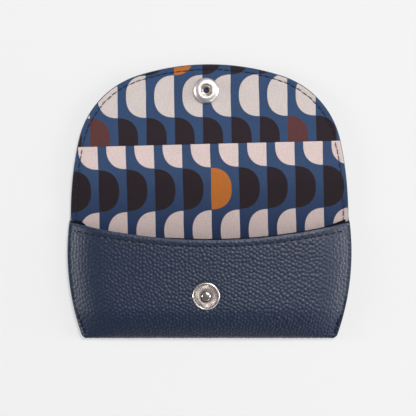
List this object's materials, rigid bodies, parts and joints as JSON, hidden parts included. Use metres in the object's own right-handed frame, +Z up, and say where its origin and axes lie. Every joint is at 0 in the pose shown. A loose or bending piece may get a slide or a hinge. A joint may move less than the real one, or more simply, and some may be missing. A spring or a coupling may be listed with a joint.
{
  "type": "card holder",
  "caption": "Small domed leather pouch for cards with a round fold-over flap, printed lining, slip pocket and press snap, shown lying open.",
  "frame": {"origin": "middle of the open holder's outline, on the surface that it lies on", "axes": "+X to the right across the width, +Y from the bottom fold to the tip of the open flap, +Z up out of the front"},
  "size_m": [0.12, 0.1158, 0.0123],
  "materials": {
    "navy_leather": "pebbled full-grain leather, satin, painted edges",
    "printed_lining": "printed cotton-twill lining, blue ground with half discs",
    "inner_cloth": "plain dark cotton lining",
    "board": "bonded leather board, hidden",
    "thread": "waxed polyester thread",
    "nickel": "nickel plate, polished",
    "brass": "plain brass, worn nickel wash"
  },
  "bodies": {
    "pouch": {"back_leather": "navy_leather", "back_stiffener": "board", "back_lining": "printed_lining", "slip_pocket_lower": "printed_lining", "front_leather": "navy_leather", "front_interlining": "board", "front_lining": "inner_cloth", "left_seam_thread": "thread", "right_seam_thread": "thread", "mouth_thread": "thread", "back_edge_thread": "thread", "snap_stud": "nickel", "stud_eyelet": "brass"},
    "spine": {"fold_leather": "navy_leather", "fold_interlining": "board", "fold_lining": "printed_lining", "slip_pocket_fold": "printed_lining", "fold_edge_thread": "thread"},
    "flap": {"flap_leather": "navy_leather", "flap_stiffener": "board", "flap_lining": "printed_lining", "slip_pocket_upper": "printed_lining", "flap_edge_thread": "thread", "snap_cap": "nickel", "snap_socket": "nickel", "snap_spring": "brass"}
  },
  "joints": [
    {"name": "spine_fold", "type": "hinge", "parent": "pouch", "child": "spine", "pos_m": [0, -0.00112, 0.0024], "axis": [1, 0, 0], "range_deg": [0, 90]},
    {"name": "flap_fold", "type": "hinge", "parent": "spine", "child": "flap", "pos_m": [0, 0.00903, 0.0032], "axis": [1, 0, 0], "range_deg": [0, 90]}
  ],
  "couplings": [
    {"joint": "flap_fold", "follows": "spine_fold", "ratio": 1}
  ]
}
